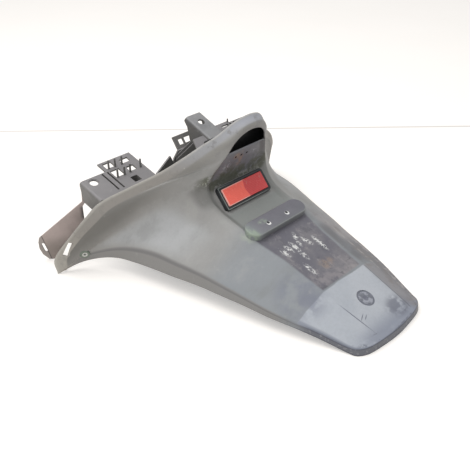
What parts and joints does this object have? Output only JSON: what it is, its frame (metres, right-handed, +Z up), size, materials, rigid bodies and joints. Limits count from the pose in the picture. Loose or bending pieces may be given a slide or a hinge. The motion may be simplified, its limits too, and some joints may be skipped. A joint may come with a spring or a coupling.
{
  "type": "motorcycle rear fender",
  "caption": "Moulded rear fender with flared wings, a lamp hood, a recessed reflector, a raised number plate pad and mounting brackets.",
  "frame": {"origin": "below the middle of the part's box, on the plane that the tongue's end and the wing tips stand on", "axes": "+X to the machine's right, +Y forward from the tongue to the brackets, +Z up"},
  "size_m": [0.504, 0.5222, 0.246],
  "materials": {
    "fender": "weathered black polypropylene, faded to grey where the sun reaches",
    "housing": "satin black",
    "lens": "glossy red prismatic",
    "nut": "zinc plated"
  },
  "bodies": {
    "root": {"fender_body": "fender", "reflector_housing": "housing", "reflector_lens": "lens", "reflector_nut": "nut"}
  },
  "joints": []
}
